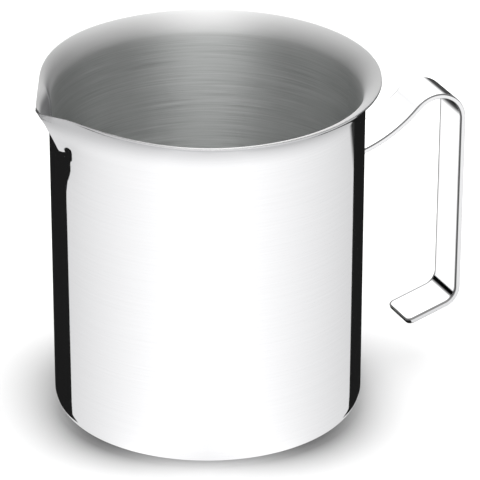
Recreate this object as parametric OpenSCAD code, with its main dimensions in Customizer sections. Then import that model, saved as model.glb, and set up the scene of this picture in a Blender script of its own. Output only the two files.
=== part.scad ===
// Candle melting pot: a pouring jug deep drawn from one disc of stainless sheet, with a trumpet lip,
// a pressed V spout and an open strap handle that is spot welded to the wall opposite the spout.
// Millimetres. The origin is the centre of the base on the surface the pot stands on.
// +Z is up, +X points at the handle and -X at the spout.

/* [Vessel] */
// Height from the surface it stands on to the top of the lip
vessel_h = 135; // [120:1:170]
// Outer radius of the wall just under the lip
wall_top_r = 60; // [55:0.5:70]
// How much narrower in radius the wall is at its foot, for the draw
wall_draft = 1; // [0:0.1:2]
// Thickness of the sheet
sheet_t = 0.8; // [0.6:0.1:1.2]
// Outer radius of the corner between the base and the wall
corner_r = 7; // [4:0.5:12]
// Width of the flat ring that the pot stands on
stand_w = 7; // [4:0.5:10]
// How far the middle of the base is pressed up from the standing ring
recess_h = 1.5; // [0.5:0.1:3]
// Width of the slope between the standing ring and the raised middle
recess_slope_w = 4; // [2:0.5:8]

/* [Lip] */
// Radius of the outward curl, on its underside
curl_r = 7.1; // [5:0.1:9]
// Angle through which the lip curls outwards
curl_turn = 82; // [60:1:88]

/* [Spout] */
// Distance from the axis to the corner where the spout's two flanks meet at the lip
spout_reach = 71.8; // [68:0.1:76]
// Height of the spout, from the foot of its keel to the lip
spout_h = 21; // [16:0.5:30]
// Bow of the keel: 1 is a straight line, more makes it lean out late
keel_bow = 1.4; // [1:0.05:2]
// Half angle about the axis over which the keel's corner is rounded
keel_round = 1.2; // [0.6:0.1:3]
// Share of the lip's overhang that is left where the spout is pressed
spout_overhang = 0.57; // [0.4:0.01:1]
// How much lower the lip is at the spout
spout_dip = 1.2; // [0:0.1:2]

/* [Handle] */
// Width of the strap
strap_w = 18.5; // [14:0.5:24]
// Thickness of the strap
strap_t = 2; // [1.5:0.1:3]
// Height at which the strap leaves the wall
strap_root_z = 93.4; // [85:0.1:105]
// Length of the foot that lies on the wall, down from the root
foot_l = 24; // [20:1:35]
// Radius of the rounded corners at both ends of the strap
strap_tip_r = 2.5; // [1:0.5:5]
// Length of the upright grip between its two bends
grip_run = 71.5; // [60:0.5:85]
// Length of the tail from the lower bend to the free end
tail_run = 17; // [10:0.5:22]

/* [Spot welds] */
// Diameter of a weld nugget
weld_d = 5; // [3:0.5:6]
// Spacing of the welds across the strap
weld_pitch_y = 9; // [7:0.5:12]
// Spacing of the welds up the strap
weld_pitch_z = 12; // [8:0.5:16]

/* [Hidden] */

curve_fn = 96;           // any value above 12 gives a true round surface
steel = [0.80, 0.81, 0.82];
strap_steel = [0.74, 0.75, 0.77];
weld_steel = [0.55, 0.57, 0.60];

// ---- vessel: its section, on the outer face (inset 0) or on the inner face (inset sheet_t) ----

wall_foot_r = wall_top_r - wall_draft;
curl_z = vessel_h - (curl_r + sheet_t) * sin(curl_turn);
corner_steps = 9;
curl_steps = 7;

// Outer radius of the straight wall at a height
function wall_r(z) = wall_foot_r + wall_draft * (z - corner_r) / (curl_z - corner_r);

// [radius, height] after a given turn of the lip's curl
function curl_point(turn, inset) =
    [wall_top_r + curl_r - (curl_r + inset) * cos(turn), curl_z + (curl_r + inset) * sin(turn)];

// The section of one face of the sheet, from the axis out to the edge of the lip
function face_section(inset) = let (
    ring_out_r = wall_foot_r - corner_r,
    ring_in_r = ring_out_r - stand_w
) [
    [0, recess_h + inset],
    [ring_in_r - recess_slope_w, recess_h + inset],
    [ring_in_r, inset],
    for (i = [0 : corner_steps]) let (turn = 90 * i / corner_steps)
        [ring_out_r + (corner_r - inset) * sin(turn), corner_r - (corner_r - inset) * cos(turn)],
    for (i = [0 : curl_steps]) curl_point(curl_turn * i / curl_steps, inset),
];

function reversed(list) = [for (i = [len(list) - 1 : -1 : 0]) list[i]];

// ---- spout: the sector of wall and lip that the press changes, as one closed skin ----
// In plan each flank is a straight line that leaves the round wall at a tangent and meets the other
// at the keel. It starts at nothing at the foot of the keel and is widest at the lip.

sector_half = 74;        // half angle of the sector, where the lip is back to its full overhang
blend_from = 26;         // half angle at which the overhang starts to grow back
dip_to = 50;             // half angle at which the lip is back to its full height
sector_below = 1;        // plain wall kept in the sector under the foot of the keel
wall_rows = 6;
rows = wall_rows + curl_steps;
half_columns = 20;
columns = 2 * half_columns;
column_crowding = 1.6;   // more than 1 packs the columns towards the keel

// The sector's first row and its two end columns are thinned and run into the plain sheet around
// them, so that the two become one solid.
lap_low = 1;             // how far the first row is below the cut, and the next row above it
lap_in = 0.5;            // angle by which the last full column is inside the cut
lap_out = 1.5;           // angle by which the end column is outside it
lap_inset = 0.16;        // how much the thinned row and columns are thinned on each face
lap_turn = 2.5;          // how much less the lip is curled at the end columns

keel_foot_z = vessel_h - spout_h;
sector_z = keel_foot_z - sector_below;

function smooth(x) = let (t = min(1, max(0, x))) t * t * (3 - 2 * t);
function overhang(angle) =
    spout_overhang + (1 - spout_overhang) * smooth((abs(angle) - blend_from) / (sector_half - blend_from));
function dip(angle) = spout_dip * (1 - smooth((abs(angle) - blend_from) / (dip_to - blend_from)));

// The plain section's [radius, height] at a row, before the spout is pressed, for a lip of a given turn
function row_section(row, inset, full_turn = curl_turn) = let (
    full_z = sector_z + lap_low,
    z = row == 0 ? sector_z - lap_low : full_z + (curl_z - full_z) * (row - 1) / (wall_rows - 1)
) row <= wall_rows ? [wall_r(z) - inset, z] : curl_point(full_turn * (row - wall_rows) / curl_steps, inset);

// Distance of the keel from the axis at a height
function keel_r(z) =
    wall_top_r + (spout_reach - wall_top_r) * pow(max(0, z - keel_foot_z) / spout_h, keel_bow);

// Half angle about the axis that the flanks take up at a row
function flank_half(row) = let (
    p = row_section(row, 0),
    round_r = min(p[0], wall_top_r) + max(0, p[0] - wall_top_r) * spout_overhang
) acos(min(1, round_r / max(round_r, keel_r(p[1]))));

// A point of the pressed sheet at an angle from the spout's middle
function spout_point(row, angle, inset) = let (
    p = row_section(row, inset, abs(angle) > sector_half ? curl_turn - lap_turn : curl_turn),
    plain_r = min(p[0], wall_top_r) + max(0, p[0] - wall_top_r) * overhang(angle),
    past = max(0, flank_half(row) - sqrt(angle * angle + keel_round * keel_round)),
    r = plain_r / cos(past),
    lowered = max(0, p[1] - curl_z) * dip(angle) / (vessel_h - curl_z)
) [-r * cos(angle), r * sin(angle), p[1] - lowered];

function column_angle(column) = let (t = (column - half_columns) / (half_columns - 1))
    abs(t) > 1
        ? sign(t) * (sector_half + lap_out)
        : sign(t) * (sector_half - lap_in) * pow(abs(t), column_crowding);

// How far a point of the sector lies under the outer face: side 0 is the outer face, 1 the inner
function sector_inset(row, column, side) = let (
    thinned = row == 0 || column == 0 || column == columns ? lap_inset : 0
) side == 0 ? thinned : sheet_t - thinned;

// Two triangles over four corners given in order round the quad
function quad(a, b, c, d) = [[a, c, b], [a, d, c]];

module spout_sector() {
    stride = rows + 1;
    inner = (columns + 1) * stride;
    points = [for (side = [0, 1]) for (column = [0 : columns]) for (row = [0 : rows])
        spout_point(row, column_angle(column), sector_inset(row, column, side))];
    faces = [
        for (c = [0 : columns - 1]) for (r = [0 : rows - 1]) let (a = c * stride + r)
            each quad(a, a + 1, a + stride + 1, a + stride),
        for (c = [0 : columns - 1]) for (r = [0 : rows - 1]) let (a = inner + c * stride + r)
            each quad(a, a + stride, a + stride + 1, a + 1),
        for (c = [0 : columns - 1]) let (a = c * stride)
            each quad(a, a + stride, inner + a + stride, inner + a),
        for (c = [0 : columns - 1]) let (a = c * stride + rows)
            each quad(a, inner + a, inner + a + stride, a + stride),
        for (r = [0 : rows - 1])
            each quad(r, inner + r, inner + r + 1, r + 1),
        for (r = [0 : rows - 1]) let (a = columns * stride + r)
            each quad(a, a + 1, inner + a + 1, inner + a),
    ];
    polyhedron(points, faces);
}

// Everything above the foot of the sector and within its angle, to be cut from the plain vessel
module sector_cutter() {
    far = 2 * wall_top_r;
    edge = [-far * cos(sector_half), far * sin(sector_half)];
    translate([0, 0, sector_z]) linear_extrude(vessel_h)
        polygon([[0, 0], edge, [-far, edge[1]], [-far, -edge[1]], [edge[0], -edge[1]]]);
}

module vessel() {
    color(steel) difference() {
        union() {
            difference() {
                rotate_extrude($fn = curve_fn)
                    polygon(concat(face_section(0), reversed(face_section(sheet_t))));
                sector_cutter();
            }
            spout_sector();
        }
        for (number = [1 : 4]) weld_nugget(number);
    }
}

// ---- handle: one strap, bent in the plane Y = 0, in bends and runs from the wall outwards ----
// Each entry is [bend radius on the centre line, heading after the bend, straight run after it]. A
// heading is the angle above +X, and the foot points straight up the wall.

strap_path = [
    [3.5, 18, 0],        // root, out of the foot
    [55, 44, 1.4],       // long rising sweep
    [11, -91, grip_run], // crest, then down the grip
    [7, -163, tail_run], // lower bend, then the tail, which ends free
];
bend_step = 5;           // a bend is drawn in steps of this many degrees at most
root_gap = 0.05;         // between the wall and the flat strap where it leaves the rolled foot
foot_lap = 1.5;          // how far the rolled foot runs up behind the root bend
spare = 1;               // how far a cutter reaches past what it cuts

function after_bend(pose, radius, heading) = let (side = sign(heading - pose[2]))
    [pose[0] + side * radius * (sin(heading) - sin(pose[2])),
     pose[1] - side * radius * (cos(heading) - cos(pose[2])),
     heading];
function after_run(pose, length) =
    [pose[0] + length * cos(pose[2]), pose[1] + length * sin(pose[2]), pose[2]];

// Every [x, z, heading] along the strap after the given one, from the given entry of the path
function poses_after(pose, index) = index == len(strap_path) ? [] : let (
    entry = strap_path[index],
    turn = entry[1] - pose[2],
    steps = ceil(abs(turn) / bend_step),
    bend = [for (i = [1 : steps]) after_bend(pose, entry[0], pose[2] + turn * i / steps)],
    end = after_run(bend[steps - 1], entry[2])
) concat(bend, entry[2] > 0 ? [end] : [], poses_after(end, index + 1));

root_pose = [wall_r(strap_root_z) + root_gap + strap_t / 2, strap_root_z, 90];
strap_poses = concat([root_pose], poses_after(root_pose, 0));

// The point a distance to the left of a pose
function beside(pose, distance) =
    [pose[0] - distance * sin(pose[2]), pose[1] + distance * cos(pose[2])];

// The waste outside the two rounded corners of a strap that ends at x = 0
module tip_waste() {
    for (side = [0, 1]) mirror([0, side, 0]) translate([-strap_tip_r, strap_w / 2 - strap_tip_r])
        difference() {
            square(strap_tip_r + spare);
            circle(strap_tip_r, $fn = curve_fn);
        }
}

// The strap from its root to its free end, flat across its width
module strap_ribbon() {
    end = strap_poses[len(strap_poses) - 1];
    difference() {
        rotate([90, 0, 0]) linear_extrude(strap_w, center = true) polygon(concat(
            [for (pose = strap_poses) beside(pose, strap_t / 2)],
            reversed([for (pose = strap_poses) beside(pose, -strap_t / 2)])));
        translate([end[0], 0, end[1]]) rotate([0, -end[2], 0])
            linear_extrude(strap_t + 2 * spare, center = true) tip_waste();
    }
}

// The end of the strap that lies on the wall, rolled to the wall's own radius
module strap_foot() {
    low = strap_root_z - foot_l;
    high = strap_root_z + foot_lap;
    difference() {
        intersection() {
            rotate_extrude($fn = curve_fn) polygon([
                [wall_r(low), low],
                [wall_r(low) + strap_t, low],
                [wall_r(high) + strap_t, high],
                [wall_r(high), high],
            ]);
            translate([0, -strap_w / 2, low - spare]) cube([2 * wall_top_r, strap_w, 2 * foot_l]);
        }
        translate([wall_foot_r, 0, low]) rotate([0, 90, 0]) linear_extrude(3 * strap_t, center = true)
            tip_waste();
    }
}

module handle_strap() {
    color(strap_steel) difference() {
        union() {
            strap_foot();
            strap_ribbon();
        }
        for (number = [1 : 4]) weld_nugget(number);
    }
}

// ---- spot welds: the metal that melted together between the foot and the wall ----
// 1 and 2 are the lower pair, 3 and 4 the upper pair; odd numbers are on the -Y side.

weld_into_wall = 0.4;    // depth of the nugget in the wall, which it doesn't pierce
weld_into_strap = 0.8;   // depth of the nugget in the strap
weld_low_z = strap_root_z - foot_l / 2 - weld_pitch_z / 2;

module weld_nugget(number) {
    z = weld_low_z + (number > 2 ? weld_pitch_z : 0);
    side = number % 2 == 1 ? -1 : 1;
    rotate([0, 0, side * asin(weld_pitch_y / 2 / wall_r(z))])
        translate([wall_r(z) - weld_into_wall, 0, z]) rotate([0, 90, 0])
            cylinder(h = weld_into_wall + weld_into_strap, d = weld_d, $fn = curve_fn);
}

module spot_weld(number) {
    color(weld_steel) weld_nugget(number);
}

vessel();
handle_strap();
spot_weld(1);  // spot_weld_1
spot_weld(2);  // spot_weld_2
spot_weld(3);  // spot_weld_3
spot_weld(4);  // spot_weld_4
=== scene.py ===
import math

import bmesh
import bpy
import numpy as np
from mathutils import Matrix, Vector


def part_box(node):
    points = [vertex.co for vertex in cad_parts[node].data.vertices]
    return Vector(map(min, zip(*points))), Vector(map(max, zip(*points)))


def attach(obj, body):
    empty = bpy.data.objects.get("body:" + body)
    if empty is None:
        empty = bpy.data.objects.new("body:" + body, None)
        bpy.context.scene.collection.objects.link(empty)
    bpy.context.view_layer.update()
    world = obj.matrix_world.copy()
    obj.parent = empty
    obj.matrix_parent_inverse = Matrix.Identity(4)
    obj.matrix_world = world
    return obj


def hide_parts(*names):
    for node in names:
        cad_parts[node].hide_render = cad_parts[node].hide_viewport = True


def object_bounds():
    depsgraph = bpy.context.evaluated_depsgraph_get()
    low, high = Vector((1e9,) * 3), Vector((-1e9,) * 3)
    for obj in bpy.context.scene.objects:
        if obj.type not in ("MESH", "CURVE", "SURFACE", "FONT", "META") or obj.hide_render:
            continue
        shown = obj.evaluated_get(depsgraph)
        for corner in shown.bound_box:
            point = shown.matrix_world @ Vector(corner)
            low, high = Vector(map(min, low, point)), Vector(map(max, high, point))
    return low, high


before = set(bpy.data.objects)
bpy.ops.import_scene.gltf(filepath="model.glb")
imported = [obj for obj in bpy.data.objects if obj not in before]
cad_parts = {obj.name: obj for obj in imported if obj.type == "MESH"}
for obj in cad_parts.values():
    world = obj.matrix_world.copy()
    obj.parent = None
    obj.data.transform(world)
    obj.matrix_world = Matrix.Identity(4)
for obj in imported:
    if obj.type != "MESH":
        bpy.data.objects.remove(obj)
cad_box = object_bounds()

# ---- Camera ----
# A long lens a little over two metres away looks down into the pot, with the spout to the left and
# towards the lens, and the handle to the right and away from it.

VIEW_TURN = math.radians(24.5)      # how far the handle is turned away from the picture plane
VIEW_RISE = math.radians(25.2)
VIEW_DISTANCE = 2.281
AIM_RIGHT, AIM_UP = -0.0033, -0.0034    # where the lens points, from the middle of the object's box
LENS_MM, SENSOR_MM = 446.2, 36

view_right = Vector((math.cos(VIEW_TURN), -math.sin(VIEW_TURN), 0))
view_away = Vector((math.sin(VIEW_TURN), math.cos(VIEW_TURN), 0))
view_back = -view_away * math.cos(VIEW_RISE) + Vector((0, 0, math.sin(VIEW_RISE)))
view_up = view_back.cross(view_right)
view_aim = (cad_box[0] + cad_box[1]) / 2 + view_right * AIM_RIGHT + view_up * AIM_UP

camera_data = bpy.data.cameras.new("camera")
camera_data.lens, camera_data.sensor_width = LENS_MM, SENSOR_MM
camera_data.clip_start, camera_data.clip_end = 0.1, 20
camera = bpy.data.objects.new("camera", camera_data)
camera.location = view_aim + view_back * VIEW_DISTANCE
camera.rotation_euler = view_back.to_track_quat("Z", "Y").to_euler()
bpy.context.scene.collection.objects.link(camera)
bpy.context.scene.camera = camera

# ---- Vessel ----
# One disc of 0.8 mm stainless sheet, deep drawn into a straight-sided pot. The lip is curled
# outwards, the spout is pressed into it opposite the handle, and the middle of the base is pressed up.
# The outside is polished to a mirror; the inside keeps the rings of a fine abrasive belt.

SHEET = 0.0008
VESSEL_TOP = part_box("vessel")[1].z
WALL_TOP_R, WALL_FOOT_R = 0.060, 0.059
CORNER_R, STAND_W, RECESS_H, RECESS_SLOPE = 0.007, 0.007, 0.0015, 0.004
CURL_R, CURL_TURN = 0.007097, math.radians(82)
CURL_Z = VESSEL_TOP - (CURL_R + SHEET) * math.sin(CURL_TURN)

# The spout: its tip's radius, its height, and the angle from its middle to its shoulder at the lip.
SPOUT_REACH, SPOUT_H, SHOULDER_TURN = 0.0704, 0.0225, math.radians(25)
SPOUT_FOOT, FOOT_FOLD = 0.2, 0.18       # in its lowest fifth the fold opens to this share of that angle
KEEL_ROUND = math.radians(0.35)         # half the width of the keel's rounding, at the lip
SPOUT_OVERHANG, SPOUT_DIP = 0.57, 0.0012    # the share of the curl that is left there, and the tip's dip
BLEND_FROM, BLEND_TO, DIP_FROM, DIP_TO = (math.radians(a) for a in (26, 74, 2, 14))
# The flare beside the spout reaches further round on the near side, of negative angles, than on the far.
FLARE_HIGH, FLARE_BOW, FLARE_FOOT_Z = 0.0036, 1.25, 0.114
FLARE_NEAR_FROM, FLARE_NEAR_TO, FLARE_FAR_FROM, FLARE_FAR_TO = (math.radians(a) for a in (6, 40, 3, 18))
# The press draws the wall in a little at the spout's foot, between these heights.
FLAT_DEPTH, FLAT_TURN = 0.0008, math.radians(10)
FLAT_FROM_Z, FLAT_FULL_Z, FLAT_LAST_Z, FLAT_TO_Z = 0.097, 0.110, 0.1165, 0.1285


def smooth(x):
    """The cubic that eases from 0 to 1 as x goes from 0 to 1: 3 x squared minus 2 x cubed."""
    t = np.clip(x, 0, 1)
    return t * t * (3 - 2 * t)


def wall_r(z):
    """Outer radius of the straight wall: a straight line between its radii at the corner and the curl."""
    return WALL_FOOT_R + (WALL_TOP_R - WALL_FOOT_R) * (z - CORNER_R) / (CURL_Z - CORNER_R)


def face_section(inset, wall_z):
    """Radius and height along one face of the sheet, from the axis out to the lip's edge: a flat, a slope,
    the standing ring, a quarter circle less the inset, the wall at the given heights, and the curl's
    arc."""
    ring_out = WALL_FOOT_R - CORNER_R
    ring_in = ring_out - STAND_W
    slope = np.linspace(0, 1, 9)
    turn = np.linspace(0, math.pi / 2, 16)
    curl = np.linspace(0, CURL_TURN, 22)
    centre_r = np.linspace(0, ring_in - RECESS_SLOPE, 12)[:-1]
    parts = [
        (centre_r, np.full_like(centre_r, RECESS_H + inset)),
        (ring_in - RECESS_SLOPE * (1 - slope), inset + RECESS_H * (1 - smooth(slope))),
        (np.linspace(ring_in, ring_out, 4)[1:-1], np.full(2, inset)),
        (ring_out + (CORNER_R - inset) * np.sin(turn), CORNER_R - (CORNER_R - inset) * np.cos(turn)),
        (wall_r(wall_z) - inset, wall_z),
        (WALL_TOP_R + CURL_R - (CURL_R + inset) * np.cos(curl),
         CURL_Z + (CURL_R + inset) * np.sin(curl)),
    ]
    return np.concatenate([p[0] for p in parts]), np.concatenate([p[1] for p in parts])


def fold_turn(rise):
    """Angle from the keel to the fold, at a share of the spout's height: one straight line up to a narrow
    fold at the top of the spout's foot, and a steeper one from there to the shoulder at the lip."""
    foot = np.clip(rise / SPOUT_FOOT, 0, 1)
    above = np.clip((rise - SPOUT_FOOT) / (1 - SPOUT_FOOT), 0, 1)
    return SHOULDER_TURN * (FOOT_FOLD * foot + (1 - FOOT_FOLD) * above)


def flare_share(angle):
    """How far the flare replaces the curl: 1 at the spout's middle, easing to 0 on each side."""
    near_side = 1 - smooth((-angle - FLARE_NEAR_FROM) / (FLARE_NEAR_TO - FLARE_NEAR_FROM))
    far_side = 1 - smooth((angle - FLARE_FAR_FROM) / (FLARE_FAR_TO - FLARE_FAR_FROM))
    return np.where(angle < 0, near_side, far_side)


def flat_depth(angle, z):
    """How far the wall is drawn in: a bell curve of the angle, easing in and out over the height."""
    eased_in = smooth((z - FLAT_FROM_Z) / (FLAT_FULL_Z - FLAT_FROM_Z))
    eased_out = 1 - smooth((z - FLAT_LAST_Z) / (FLAT_TO_Z - FLAT_LAST_Z))
    return FLAT_DEPTH * np.exp(-(angle / FLAT_TURN) ** 2) * eased_in * eased_out


def pressed(angle, r, z):
    """The sheet after the spout is pressed, as a point at an angle from the spout's middle, from its
    radius and height before. The wall carries the curl or, near the spout, the flare, less the flat.
    The keel is a straight line up and out to the tip. Each flank is the straight line, in plan, from the
    wall at the fold to the keel. Last, the lip dips a little towards the tip."""
    past_wall = np.maximum(0, r - WALL_TOP_R)
    blend = smooth((abs(angle) - BLEND_FROM) / (BLEND_TO - BLEND_FROM))
    curled = np.minimum(r, WALL_TOP_R) + past_wall * (SPOUT_OVERHANG + (1 - SPOUT_OVERHANG) * blend)
    flare = FLARE_HIGH * np.clip((z - FLARE_FOOT_Z) / (VESSEL_TOP - FLARE_FOOT_Z), 0, 1) ** FLARE_BOW
    flared = np.minimum(r, WALL_TOP_R) + flare
    plain = curled + (flared - curled) * flare_share(angle) - flat_depth(angle, z)
    rise = np.clip((z - (VESSEL_TOP - SPOUT_H)) / SPOUT_H, 0, 1)
    shoulder = np.maximum(fold_turn(rise), 1e-6)
    lip_reach = SPOUT_REACH - WALL_TOP_R - FLARE_HIGH
    keel = flared + lip_reach * rise - FLAT_DEPTH * (1 - smooth(rise / SPOUT_FOOT))
    keel = np.maximum(keel, WALL_FOOT_R / 2)        # it has no meaning down in the base
    turn = np.minimum(np.sqrt(angle ** 2 + (KEEL_ROUND * rise) ** 2), shoulder)
    across = np.maximum(keel * np.sin(turn) + plain * np.sin(shoulder - turn), 1e-12)   # 0 on the axis
    flank = keel * plain * np.sin(shoulder) / across
    radius = np.where((rise > 0) & (abs(angle) < shoulder), flank, plain)
    dip = SPOUT_DIP * (1 - smooth((abs(angle) - DIP_FROM) / (DIP_TO - DIP_FROM)))
    height = z - np.maximum(0, z - CURL_Z) * dip / (VESSEL_TOP - CURL_Z)
    return np.stack([-radius * np.cos(angle), radius * np.sin(angle), height], -1)


def grid_mesh(name, points, row_uv, column_uv, close_rows=False, close_columns=False):
    """A mesh over a grid of points, rows by columns, with quads between neighbours, and across the ends
    where the grid closes on itself. The UV map takes one length per row line and one per column line."""
    rows, columns = points.shape[:2]
    r = np.arange(rows if close_rows else rows - 1)
    c = np.arange(columns if close_columns else columns - 1)
    r, c = (a.ravel() for a in np.meshgrid(r, c, indexing="ij"))
    r2, c2 = (r + 1) % rows, (c + 1) % columns
    quads = np.stack([r * columns + c, r * columns + c2, r2 * columns + c2, r2 * columns + c], -1)
    mesh = bpy.data.meshes.new(name)
    mesh.vertices.add(rows * columns)
    mesh.vertices.foreach_set("co", points.astype(np.float32).ravel())
    mesh.loops.add(quads.size)
    mesh.loops.foreach_set("vertex_index", quads.ravel())
    mesh.polygons.add(len(quads))
    mesh.polygons.foreach_set("loop_start", np.arange(0, quads.size, 4))
    mesh.polygons.foreach_set("loop_total", np.full(len(quads), 4))
    mesh.update(calc_edges=True)
    mesh.shade_smooth()
    u = row_uv[np.stack([r, r, r + 1, r + 1], -1)]
    v = column_uv[np.stack([c, c + 1, c + 1, c], -1)]
    uv = np.stack([u, v], -1)
    mesh.uv_layers.new(name="sheet").uv.foreach_set("vector", uv.astype(np.float32).ravel())
    return mesh


def close_up(mesh):
    """Merges the points that meet at a pole or a seam, and turns the closed skin's faces outwards."""
    bm = bmesh.new()
    bm.from_mesh(mesh)
    bmesh.ops.remove_doubles(bm, verts=bm.verts, dist=1e-7)
    bmesh.ops.recalc_face_normals(bm, faces=bm.faces)
    bm.to_mesh(mesh)
    bm.free()


def mark_points(mesh, name, values):
    """Keeps one number for each point of the grid, for a material to read."""
    mesh.attributes.new(name, "FLOAT", "POINT").data.foreach_set("value", values.astype(np.float32).ravel())


def add_piece(mesh):
    """Puts a mesh into the scene as an object at the origin."""
    piece = bpy.data.objects.new(mesh.name, mesh)
    bpy.context.scene.collection.objects.link(piece)
    return piece


# Columns crowd at the spout and the handle, and rows towards the lip.
turns = np.linspace(-math.pi, math.pi, 337)[:-1]
angles = turns - 0.33 * np.sin(2 * turns) - 0.2 * np.sin(turns)
OUTER_CLOSE_Z, INNER_CLOSE_Z, INNER_CLOSER_Z = 0.105, 0.070, 0.093
outer_z = np.concatenate([
    np.linspace(CORNER_R, OUTER_CLOSE_Z, 22)[1:],
    np.linspace(OUTER_CLOSE_Z, CURL_Z, 44)[1:-1],
])
inner_z = np.concatenate([
    np.linspace(CORNER_R, INNER_CLOSE_Z, 12)[1:],
    np.linspace(INNER_CLOSE_Z, INNER_CLOSER_Z, 34)[1:],
    np.linspace(INNER_CLOSER_Z, CURL_Z, 44)[1:-1],
])
outer_r, outer_h = face_section(0, outer_z)
inner_r, inner_h = face_section(SHEET, inner_z)
# The cut edge of the lip is flat between the two faces, with rows close to its two corners.
edge_turn = np.linspace(0, math.pi, 9)[1:-1]
edge_mid = np.array([outer_r[-1] + inner_r[-1], outer_h[-1] + inner_h[-1]]) / 2
edge_half = np.array([inner_r[-1] - outer_r[-1], inner_h[-1] - outer_h[-1]]) / 2
section_r = np.concatenate([outer_r, edge_mid[0] - edge_half[0] * np.cos(edge_turn), inner_r[::-1]])
section_h = np.concatenate([outer_h, edge_mid[1] - edge_half[1] * np.cos(edge_turn), inner_h[::-1]])
rows_outside = len(outer_r) + len(edge_turn) // 2
shell = pressed(angles[None, :], section_r[:, None], section_h[:, None])
along = np.concatenate([[0], np.cumsum(np.hypot(np.diff(section_r), np.diff(section_h)))])
around = np.append(angles, angles[0] + 2 * math.pi) * WALL_TOP_R
vessel_mesh = grid_mesh("vessel_shell", shell, along, around, close_columns=True)
vessel = add_piece(vessel_mesh)

# Painted shade: the inside is darkened along the folds beside the keel and down behind them, where shade
# falls. Distances from the fold are in half widths of the crease, and heights in spout heights.
CREASE_HALF_W, CREASE_FADE, CREASE_SHADE = math.radians(2.2), 4.5, 0.95
CREASE_FADE_IN, CREASE_LAST, CREASE_FADE_OUT = 0.1, 0.80, 0.18
BEHIND_FADE, BEHIND_TOP, BEHIND_FADE_OUT, BEHIND_SHADE = 1.5, 0.93, 0.15, 0.8
rise = np.clip((section_h[:, None] - (VESSEL_TOP - SPOUT_H)) / SPOUT_H, 0, 1)
off_fold = (abs(angles)[None, :] - fold_turn(rise)) / CREASE_HALF_W
painted_crease_shade = np.where(off_fold > 0, np.exp(-off_fold / CREASE_FADE), np.exp(-off_fold ** 2))
painted_crease_shade = CREASE_SHADE * painted_crease_shade * smooth(rise / CREASE_FADE_IN) * (
    1 - smooth((rise - CREASE_LAST) / CREASE_FADE_OUT))
behind = BEHIND_SHADE * smooth(-off_fold / BEHIND_FADE) * smooth((BEHIND_TOP - rise) / BEHIND_FADE_OUT)
inner = (np.arange(len(section_r)) > rows_outside)[:, None]
mark_points(vessel_mesh, "painted_crease_shade", np.maximum(painted_crease_shade, behind) * inner)
# The curl is worked after the belt: its top is evenly matt. Its underside is darker than the wall: painted
# shade.
CURL_MARK_FROM_Z, CURL_MARK_H = CURL_Z - 0.004, 0.009
curl_matt_and_painted_shade = smooth((section_h[:, None] - CURL_MARK_FROM_Z) / CURL_MARK_H)
mark_points(vessel_mesh, "curl", curl_matt_and_painted_shade * np.ones_like(angles)[None, :])


def node_builder(name):
    """A new material with its node tree cleared, and a function that adds a node, sets its properties and
    sockets, and links any socket whose value is another node's output."""
    material = bpy.data.materials.new(name)
    material.use_nodes = True
    material.node_tree.nodes.clear()
    return material, tree_builder(material.node_tree)


def tree_builder(tree):
    """A function that adds a node to this tree, sets its properties, and sets or links its sockets."""
    def add(kind, sockets=None, **properties):
        node = tree.nodes.new(kind)
        for key, value in properties.items():
            setattr(node, key, value)
        for key, value in (sockets or {}).items():
            if isinstance(value, bpy.types.NodeSocket):
                tree.links.new(value, node.inputs[key])
            else:
                node.inputs[key].default_value = value
        return node
    return add


NOISE_LOW, NOISE_HIGH = 0.3, 0.7        # nearly all of a noise lies between these


def ranged(value, from_min, from_max, to_min, to_max, easing="LINEAR"):
    """In the tree now being built: the value carried from one range to another and held at its ends."""
    return add("ShaderNodeMapRange", {
        "Value": value, "From Min": from_min, "From Max": from_max, "To Min": to_min, "To Max": to_max},
        interpolation_type=easing).outputs["Result"]


def two_tone(value, low, high):
    """In the tree now being built: a straight ramp between two greys, as a noise goes from low to high."""
    ramp = add("ShaderNodeValToRGB", {"Fac": value})
    for stop, position, colour in zip(ramp.color_ramp.elements, (NOISE_LOW, NOISE_HIGH), (low, high)):
        stop.position, stop.color = position, (*colour, 1)
    return ramp.outputs["Color"]


def marked(name):
    """In the tree now being built: the number that mark_points kept under this name."""
    return add("ShaderNodeAttribute", attribute_name=name, attribute_type="GEOMETRY").outputs["Fac"]


# Fine scratches that run along V of the sheet map: noise that changes fast in U and slowly in V.
scratches = bpy.data.node_groups.new("scratches", "ShaderNodeTree")
scratches.interface.new_socket("Pitch", in_out="INPUT", socket_type="NodeSocketVector")
scratches.interface.new_socket("Shift", in_out="INPUT", socket_type="NodeSocketVector")
scratches.interface.new_socket("Mask", in_out="OUTPUT", socket_type="NodeSocketFloat")
add = tree_builder(scratches)
given = add("NodeGroupInput")
sheet_map = add("ShaderNodeUVMap", uv_map="sheet").outputs["UV"]
scaled = add("ShaderNodeVectorMath", {0: sheet_map, 1: given.outputs["Pitch"]}, operation="MULTIPLY")
moved = add("ShaderNodeVectorMath", {0: scaled.outputs[0], 1: given.outputs["Shift"]}, operation="ADD")
noise = add("ShaderNodeTexNoise", {
    "Vector": moved.outputs[0], "Scale": 1.0, "Detail": 4.0, "Roughness": 0.6})
add("NodeGroupOutput", {"Mask": noise.outputs["Fac"]})

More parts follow.
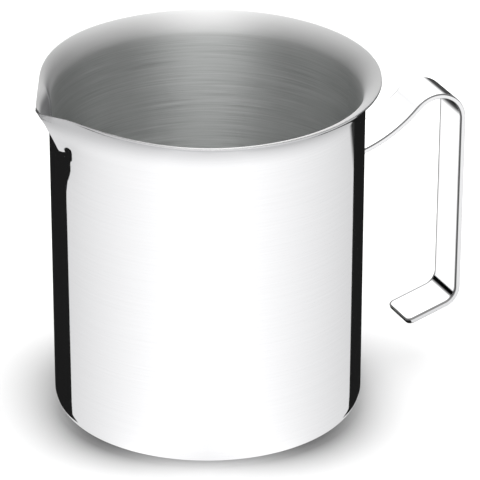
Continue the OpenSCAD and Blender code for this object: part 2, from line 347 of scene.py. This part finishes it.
polished, add = node_builder("polished_steel")
lines = add("ShaderNodeGroup", {"Pitch": (2600, 26, 1), "Shift": (1.0, 1.7, 2.3)}, node_tree=scratches)
haze = add("ShaderNodeTexNoise", {
    "Vector": add("ShaderNodeTexCoord").outputs["Object"], "Scale": 55.0, "Detail": 3.0})
rough = ranged(haze.outputs["Fac"], NOISE_LOW, NOISE_HIGH, 0.03, 0.055)
tint = ranged(lines.outputs["Mask"], NOISE_LOW, NOISE_HIGH, 0.885, 0.915)
blue = add("ShaderNodeMath", {0: tint, 1: 1.012}, operation="MULTIPLY")
tint_colour = add("ShaderNodeCombineColor", {"Red": tint, "Green": tint, "Blue": blue.outputs[0]})
# Painted shade: the polished curl's underside is mixed towards grey.
painted_curl_shade = add("ShaderNodeMix", {
    "Factor": marked("curl"), "A": tint_colour.outputs[0], "B": (0.60, 0.60, 0.61, 1)}, data_type="RGBA")
fine = add("ShaderNodeBump", {"Height": lines.outputs["Mask"], "Strength": 0.01, "Distance": 0.00001})
steel = add("ShaderNodeBsdfPrincipled", {
    "Base Color": painted_curl_shade.outputs["Result"], "Metallic": 1.0, "Roughness": rough, "Normal": fine.outputs[0]})
add("ShaderNodeOutputMaterial", {"Surface": steel.outputs[0]})

brushed, add = node_builder("brushed_steel")
coarse = add("ShaderNodeGroup", {"Pitch": (900, 14, 1), "Shift": (2.0, 3.4, 4.6)}, node_tree=scratches)
hair = add("ShaderNodeGroup", {"Pitch": (2600, 34, 1), "Shift": (3.0, 5.1, 6.9)}, node_tree=scratches)
mixed = add("ShaderNodeMix", {"Factor": 0.68, "A": coarse.outputs["Mask"], "B": hair.outputs["Mask"]})
rough = ranged(mixed.outputs["Result"], NOISE_LOW, NOISE_HIGH, 0.42, 0.54)
curl = marked("curl")
rough = add("ShaderNodeMix", {"Factor": curl, "A": rough, "B": 0.62})
tone = two_tone(mixed.outputs["Result"], (0.37, 0.38, 0.375), (0.54, 0.55, 0.545))
evened = add("ShaderNodeMix", {"Factor": curl, "A": tone, "B": (0.52, 0.52, 0.52, 1)}, data_type="RGBA")
painted_crease_shade_mask = marked("painted_crease_shade")
# Painted shade: along the marked folds the inside colour goes nearly black.
painted_crease_shade_tone = add("ShaderNodeMix", {
    "Factor": painted_crease_shade_mask, "A": evened.outputs["Result"], "B": (0.05, 0.05, 0.055, 1)}, data_type="RGBA")
rings = add("ShaderNodeBump", {"Height": mixed.outputs["Result"], "Strength": 0.25, "Distance": 0.00002})
tangent = add("ShaderNodeTangent", direction_type="UV_MAP", uv_map="sheet")
steel = add("ShaderNodeBsdfPrincipled", {
    "Base Color": painted_crease_shade_tone.outputs["Result"], "Metallic": 1.0, "Roughness": rough.outputs["Result"],
    "Anisotropic": 0.85, "Normal": rings.outputs[0], "Tangent": tangent.outputs[0]})
add("ShaderNodeOutputMaterial", {"Surface": steel.outputs[0]})
vessel_mesh.materials.append(polished)
vessel_mesh.materials.append(brushed)
face_rows = np.repeat(np.arange(len(section_r) - 1), len(angles))
vessel_mesh.polygons.foreach_set("material_index", (face_rows >= rows_outside).astype(np.int32))
close_up(vessel_mesh)
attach(vessel, "root")
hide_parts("vessel")

# ---- Handle strap ----
# One flat bar of stainless strip, 18.5 by 2 mm, bent cold: a foot rolled to the wall and spot welded to
# it, a run out and up, a tight bend at the crest, a straight grip, and a free end turned in at the foot
# of the grip. The corners are rounded and the edges are linished, then the whole bar is polished.

STRAP_W, STRAP_T = 0.0185, 0.002
STRAP_EDGE_R, STRAP_TIP_R = 0.0004, 0.0025
ROOT_Z, FOOT_L, FOOT_GAP = 0.0934, 0.024, 0.00003
# The welds' heights, their distance to either side, and the radius and depth of the dent each leaves.
WELD_Z, WELD_SIDE, WELD_R, WELD_DENT = (0.0754, 0.0874), 0.0045, 0.0026, 0.00012
STRAP_BENDS = (             # bend radius, heading after it in degrees above +X, length of the run after it
    (0.0035, 18, 0),
    (0.055, 44, 0.0014),
    (0.011, -91, 0.0715),
    (0.007, -163, 0.017),
)
ROLL_FADE = 0.005           # the rolled section flattens out over this length after the foot


def strap_line():
    """The middle of the strap from the foot's lower end to the free end, as columns of length so far, x,
    z and heading: the foot lies along the wall, each bend is an arc, and each run is straight."""
    foot = np.linspace(ROOT_Z - FOOT_L, ROOT_Z, 46)
    x, z, heading = wall_r(foot) + STRAP_T / 2 + FOOT_GAP, foot, np.full_like(foot, math.pi / 2)
    for radius, after, run in STRAP_BENDS:
        start, after = heading[-1], math.radians(after)
        side = math.copysign(1, after - start)
        stations = 2 + int(abs(after - start) / 0.06) + int(radius * 200)   # closer in a tight bend
        turn = np.linspace(start, after, stations)[1:]
        x = np.concatenate([x, x[-1] + side * radius * (np.sin(turn) - math.sin(start))])
        z = np.concatenate([z, z[-1] - side * radius * (np.cos(turn) - math.cos(start))])
        steps = np.linspace(0, run, 2 + int(run / 0.001))[1:] if run else np.zeros(0)
        x = np.concatenate([x, x[-1] + steps * math.cos(after)])
        z = np.concatenate([z, z[-1] + steps * math.sin(after)])
        heading = np.concatenate([heading, turn, np.full_like(steps, after)])
    length = np.concatenate([[0], np.cumsum(np.hypot(np.diff(x), np.diff(z)))])
    return length, x, z, heading


def strap_outline(columns_tip=10):
    """The outline of the flat bar with rounded corners as a closed loop: length along the bar, distance
    across it, and the outward direction. The long edges share the stations of the bar's middle line."""
    half, tip, end = STRAP_W / 2, STRAP_TIP_R, line_s[-1]
    turn = np.linspace(0, math.pi / 2, columns_tip)[1:-1]
    stations = line_s[(line_s >= tip) & (line_s <= end - tip)]
    across = np.linspace(-1, 1, 9)[1:-1] * (half - tip)
    near = (stations, np.full_like(stations, -half), np.zeros_like(stations), np.full_like(stations, -1.0))
    corner = (np.sin(turn), np.cos(turn))
    pieces = [
        near,
        (end - tip + tip * corner[0], -half + tip - tip * corner[1], corner[0], -corner[1]),
        (np.full_like(across, end), across, np.ones_like(across), np.zeros_like(across)),
        (end - tip + tip * corner[1], half - tip + tip * corner[0], corner[1], corner[0]),
        (stations[::-1], -near[1], near[2], -near[3]),
        (tip - tip * corner[0], half - tip + tip * corner[1], -corner[0], corner[1]),
        (np.zeros_like(across), -across, -np.ones_like(across), np.zeros_like(across)),
        (tip - tip * corner[1], -half + tip - tip * corner[0], -corner[1], -corner[0]),
    ]
    return (np.concatenate(column) for column in zip(*pieces))


line_s, line_x, line_z, line_h = strap_line()
edge_s, edge_a, out_s, out_a = strap_outline()
SPINE_MARGIN = 0.0006       # the faces' middle line stops this much short of the rounded corners
spine_s = np.clip(edge_s, STRAP_TIP_R + SPINE_MARGIN, line_s[-1] - STRAP_TIP_R - SPINE_MARGIN)
# Columns run from the middle of the outer face over the rounded edge to the middle of the inner face.
# Reach is the share of the way out to the edge, inset the share of the edge's radius, and depth goes
# from -1 on the outer face to 1 on the inner.
face = np.concatenate([np.linspace(0, 0.94, 14), [0.97, 1]])
round_turn = np.linspace(0, math.pi / 2, 8)[1:]
side = np.array([0.05, 0.5, 0.95])
edge_share = STRAP_EDGE_R / (STRAP_T / 2)
inset = np.concatenate([
    np.ones_like(face),
    1 - np.sin(round_turn),
    np.zeros_like(side),
    1 - np.cos(round_turn),
    np.ones(len(face) - 1),
])
depth = np.concatenate([
    np.full_like(face, -1),
    -1 + (1 - np.cos(round_turn)) * edge_share,
    (2 * side - 1) * (1 - edge_share),
    1 - (1 - np.sin(round_turn)) * edge_share,
    np.ones(len(face) - 1),
])
reach = np.concatenate([face, np.ones(2 * len(round_turn) + len(side)), face[-2::-1]])
rim_s = edge_s[:, None] - out_s[:, None] * STRAP_EDGE_R * inset
rim_a = edge_a[:, None] - out_a[:, None] * STRAP_EDGE_R * inset
bar_s = spine_s[:, None] + (rim_s - spine_s[:, None]) * reach
bar_a = rim_a * reach
bar_b = np.broadcast_to(depth * STRAP_T / 2, bar_s.shape).copy()
mark = np.zeros_like(bar_s)
for z in WELD_Z:
    for y in (-WELD_SIDE, WELD_SIDE):
        mark += 1 - smooth(np.hypot(bar_s - (z - ROOT_Z + FOOT_L), bar_a - y) / WELD_R)
bar_b -= WELD_DENT * mark * (bar_b > 0)
mid_x, mid_z, mid_h = (np.interp(bar_s, line_s, column) for column in (line_x, line_z, line_h))
# The foot is rolled to the wall: its section follows a circle about the pot's axis, and then flattens.
roll = 1 - smooth((bar_s - FOOT_L) / ROLL_FADE)
axis_r = mid_x + bar_b
drop = roll * (np.sqrt(axis_r ** 2 - bar_a ** 2) - axis_r)
bar_points = np.stack([
    mid_x + (bar_b + drop) * np.sin(mid_h), bar_a, mid_z - (bar_b + drop) * np.cos(mid_h)], -1)
girth = np.concatenate([[0], np.cumsum(np.hypot(np.diff(bar_a[20]), np.diff(bar_b[20])))])
length = np.concatenate([[0], np.cumsum(np.hypot(np.diff(edge_s), np.diff(edge_a)))])
length = np.append(length, length[-1] + 0.001)      # the short step that closes the outline
strap_mesh = grid_mesh("handle_bar", bar_points, length, girth, close_rows=True)
# The linished edges are rougher and carry a painted dark reflection: the outer one up to and over the
# crest, the inner one from there down.
OUTER_DARK_TO, OUTER_FADE, INNER_FADE = -1.0, 0.6, 0.4      # headings in radians, above +X
outer_edge = np.zeros(len(reach))
outer_edge[len(face) - 1:len(face) + len(round_turn)] = 1.0
inner_edge = np.zeros(len(reach))
inner_from = len(face) + len(round_turn) + len(side)
inner_edge[inner_from:inner_from + len(round_turn) + 1] = 1.0
inner_edge[inner_from + len(round_turn) + 1] = 0.7          # the last column fades onto the face
outer_linished_and_painted = outer_edge * smooth((mid_h - OUTER_DARK_TO) / OUTER_FADE)
inner_linished_and_painted = inner_edge * smooth(-mid_h / INNER_FADE)
mark_points(strap_mesh, "edge", outer_linished_and_painted + inner_linished_and_painted)
strap = add_piece(strap_mesh)
close_up(strap_mesh)
bar, add = node_builder("polished_bar")
lines = add("ShaderNodeGroup", {"Pitch": (40, 2600, 1), "Shift": (4.0, 6.8, 9.2)}, node_tree=scratches)
edge = marked("edge")
rough = ranged(edge, 0.0, 1.0, 0.06, 0.35)
# Painted reflection: the marked edges are coloured nearly black.
tone = add("ShaderNodeMix", {
    "Factor": edge, "A": (0.92, 0.92, 0.93, 1), "B": (0.12, 0.12, 0.12, 1)}, data_type="RGBA")
fine = add("ShaderNodeBump", {"Height": lines.outputs["Mask"], "Strength": 0.01, "Distance": 0.00001})
steel = add("ShaderNodeBsdfPrincipled", {
    "Base Color": tone.outputs["Result"], "Metallic": 1.0, "Roughness": rough, "Normal": fine.outputs[0]})
add("ShaderNodeOutputMaterial", {"Surface": steel.outputs[0]})
strap_mesh.materials.append(bar)
strap.visible_glossy = False
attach(strap, "root")
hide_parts("handle_strap")

# ---- Spot welds ----
# Four nuggets of once molten steel that join the strap's foot to the wall, left by a resistance welder.
# They lie between the two sheets, dull grey and slightly pitted.

nugget, add = node_builder("weld_grey")
grain = add("ShaderNodeTexNoise", {
    "Vector": add("ShaderNodeTexCoord").outputs["Object"], "Scale": 2500.0, "Detail": 3.0})
tone = two_tone(grain.outputs["Fac"], (0.28, 0.27, 0.26), (0.45, 0.45, 0.44))
rough = ranged(grain.outputs["Fac"], 0.0, 1.0, 0.45, 0.65)
pits = add("ShaderNodeBump", {"Height": grain.outputs["Fac"], "Strength": 0.3, "Distance": 0.00005})
steel = add("ShaderNodeBsdfPrincipled", {
    "Base Color": tone, "Metallic": 1.0, "Roughness": rough, "Normal": pits.outputs[0]})
add("ShaderNodeOutputMaterial", {"Surface": steel.outputs[0]})
for name in ("spot_weld_1", "spot_weld_2", "spot_weld_3", "spot_weld_4"):
    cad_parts[name].data.materials.clear()
    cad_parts[name].data.materials.append(nugget)

# ---- Stage ----
# A sheet of white paper under an even white sky, with no lamps. The steel reflects a table, a sky and
# black cards of its own, which neither the lens nor the paper sees.

PAPER_WHITE = 0.92
SHADOW_REACH = 0.018                    # the contact shadow falls to 1/e over this distance from the foot
SHADOW_DEPTH, SHADOW_SIDES, SHADOW_CORNERS = 0.60, -0.06, -0.15
GLOW_FRONT, GLOW_BACK, GLOW_BEHIND = 1.14, 0.74, 0.45
GLOW_ASIDE, GLOW_FORWARD = 0.025, -0.038
TABLE_DIM = 0.95                        # how much the table is dimmed far behind the pot, to the right
CARD_BLACK, CARD_UP = 0.012, 0.0001
SQUARE = ((-4, -4), (4, -4), (4, 4), (-4, 4))


def placed(right, away, up=0.0):
    """A point on the stage from distances to the right of the pot's axis, away from the lens and up."""
    return view_right * right + view_away * away + Vector((0, 0, up))


def stage_mesh(name, corners, material):
    """A flat polygon through its corners, with its material, put into the scene as an object."""
    mesh = bpy.data.meshes.new(name)
    mesh.from_pydata([tuple(placed(*corner)) for corner in corners], [], [tuple(range(len(corners)))])
    mesh.materials.append(material)
    sheet = add_piece(mesh)
    return sheet


def calc(operation, *values):
    """In the tree now being built: one step of arithmetic, with its values set or linked in order."""
    return add("ShaderNodeMath", dict(enumerate(values)), operation=operation).outputs[0]


def component(vector, direction):
    """In the tree now being built: how far a vector goes along a direction."""
    return add("ShaderNodeVectorMath", {0: vector, 1: direction}, operation="DOT_PRODUCT").outputs["Value"]


def eased(value, from_min, from_max, to_min=0.0, to_max=1.0):
    """In the tree now being built: the value carried over by the cubic that eases at both ends."""
    return ranged(value, from_min, from_max, to_min, to_max, easing="SMOOTHSTEP")


def degrees_eased(value, from_degrees, to_degrees, to_min=0.0, to_max=1.0):
    """The same for an angle in radians, between ends in degrees."""
    return eased(value, math.radians(from_degrees), math.radians(to_degrees), to_min, to_max)


# A contact shadow is painted into the paper's colour: darker close to the pot's foot, least in front and
# behind, more at the sides, and most at the four corners between them.
paper, add = node_builder("paper")
where = add("ShaderNodeTexCoord").outputs["Object"]
flat = add("ShaderNodeVectorMath", {0: where, 1: (1, 1, 0)}, operation="MULTIPLY").outputs[0]
from_axis = add("ShaderNodeVectorMath", {0: flat}, operation="LENGTH").outputs["Value"]
from_foot = calc("MAXIMUM", calc("SUBTRACT", from_axis, WALL_FOOT_R), 0.0)
falloff = calc("POWER", math.exp(-1 / SHADOW_REACH), from_foot)
bearing = calc("ARCTAN2", component(flat, view_right), component(flat, -view_away))
depth = calc("MULTIPLY_ADD", calc("COSINE", calc("MULTIPLY", bearing, 2.0)), SHADOW_SIDES, SHADOW_DEPTH)
depth = calc("MULTIPLY_ADD", calc("COSINE", calc("MULTIPLY", bearing, 4.0)), SHADOW_CORNERS, depth)
# Painted shadow: the paper's colour is darkened near the pot's foot.
painted_shadow_white = calc("MULTIPLY", calc("SUBTRACT", 1.0, calc("MULTIPLY", falloff, depth)), PAPER_WHITE)
painted_shadow_white_colour = add("ShaderNodeCombineColor", {"Red": painted_shadow_white, "Green": painted_shadow_white, "Blue": painted_shadow_white})
sheet = add("ShaderNodeBsdfDiffuse", {"Color": painted_shadow_white_colour.outputs[0]})
add("ShaderNodeOutputMaterial", {"Surface": sheet.outputs[0]})
floor = stage_mesh("floor", [(x, y, -CARD_UP) for x, y in SQUARE], paper)
floor.visible_glossy = False

# What the steel sees of the table: white towards the lens, fading to both sides, brighter again behind
# the pot, and dim far behind it, from the middle to the right.
table, add = node_builder("table_glow")
where = add("ShaderNodeTexCoord").outputs["Object"]
right, away = component(where, view_right), component(where, view_away)
aside = calc("SUBTRACT", calc("ABSOLUTE", right), GLOW_ASIDE)
front = calc("MULTIPLY", calc("SUBTRACT", away, GLOW_FORWARD), -1.0)
bearing = calc("ABSOLUTE", calc("ARCTAN2", aside, front))
fade = ranged(bearing, math.radians(26), math.radians(128), GLOW_FRONT, GLOW_BACK)
behind = ranged(bearing, math.radians(134), math.radians(144), 0.0, GLOW_BEHIND)
dim = calc("MULTIPLY", eased(right, -0.060, 0.030), eased(away, 0.135, 0.160))
lit = calc("SUBTRACT", 1.0, calc("MULTIPLY", dim, TABLE_DIM))
emission = add("ShaderNodeEmission", {"Strength": calc("MULTIPLY", lit, calc("ADD", fade, behind))})
add("ShaderNodeOutputMaterial", {"Surface": emission.outputs[0]})
glow = stage_mesh("table_reflection", SQUARE, table)

# Black cards on both sides of the pot give the polished wall its dark bands.
black, add = node_builder("black_card")
emission = add("ShaderNodeEmission", {"Strength": CARD_BLACK})
add("ShaderNodeOutputMaterial", {"Surface": emission.outputs[0]})
left_low = ((-0.0533, -0.0274), (-0.066, -0.0184), (-0.066, 0.14), (-0.060, 0.14), (-0.060, 0))
right_low = (
    (0.0553, -0.0225), (0.299, 0.228), (0.060, 0.400), (0.044, 0.400), (0.054, 0.030), (0.060, 0.0))
flags = [
    stage_mesh("flag_left_low", [(x, y, CARD_UP) for x, y in left_low], black),
    stage_mesh("flag_left", [
        (-0.066, -0.0184, 0), (-0.066, -0.0184, 0.116), (-0.066, 0.10, 0.116), (-0.066, 0.10, 0)], black),
    stage_mesh("flag_right", [(x, y, CARD_UP) for x, y in right_low], black),
]
for card in [glow] + flags:
    card.visible_camera = card.visible_diffuse = card.visible_shadow = False
    card.visible_transmission = card.visible_volume_scatter = False

# The sky is even for the lens and the paper. In the steel it is brightest behind the lens, bright high up
# all round, weaker behind the pot, and has one dark strip there, a little to the right.
PLAIN_SKY = 2.0
FRONT_SKY_LOW, FRONT_SKY_HIGH, SIDE_SKY, BACK_SKY, STRAP_SKY = 3.5, 4.4, 2.5, 1.75, 1.30
STRIP_DARK = 0.95
world = bpy.data.worlds.new("studio")
world.use_nodes = True
world.node_tree.nodes.clear()
add = tree_builder(world.node_tree)
seen = add("ShaderNodeTexCoord").outputs["Generated"]
up = component(seen, (0, 0, 1))
from_lens = calc("ABSOLUTE", calc("ARCTAN2", component(seen, view_right), component(seen, -view_away)))
front = calc("MULTIPLY", degrees_eased(from_lens, 14, 62, 1.0, 0.0),
             eased(up, 0.25, 0.85, FRONT_SKY_LOW, FRONT_SKY_HIGH))
sides = calc("MULTIPLY", eased(up, 0.28, 0.55), SIDE_SKY)
back = calc("MULTIPLY", degrees_eased(from_lens, 130, 158), BACK_SKY)
strap_light = calc("MULTIPLY", degrees_eased(from_lens, 118, 135), eased(up, 0.24, 0.36, 0.0, STRAP_SKY))
sky = calc("MAXIMUM", calc("MAXIMUM", front, sides), calc("MAXIMUM", back, strap_light))
rightward = calc("ARCTAN2", component(seen, view_right), component(seen, view_away))
strip = calc("MULTIPLY", degrees_eased(rightward, 0, 5), degrees_eased(rightward, 13, 18, 1.0, 0.0))
strip = calc("MULTIPLY", strip, eased(up, 0.05, 0.30, STRIP_DARK, 0.0))
sky = calc("MULTIPLY", sky, calc("SUBTRACT", 1.0, strip))
mirrored = add("ShaderNodeLightPath").outputs["Is Glossy Ray"]
strength = add("ShaderNodeMix", {"Factor": mirrored, "A": PLAIN_SKY, "B": sky})
background = add("ShaderNodeBackground", {"Strength": strength.outputs["Result"]})
add("ShaderNodeOutputWorld", {"Surface": background.outputs[0]})
bpy.context.scene.world = world
bpy.context.scene.view_settings.view_transform = "Standard"
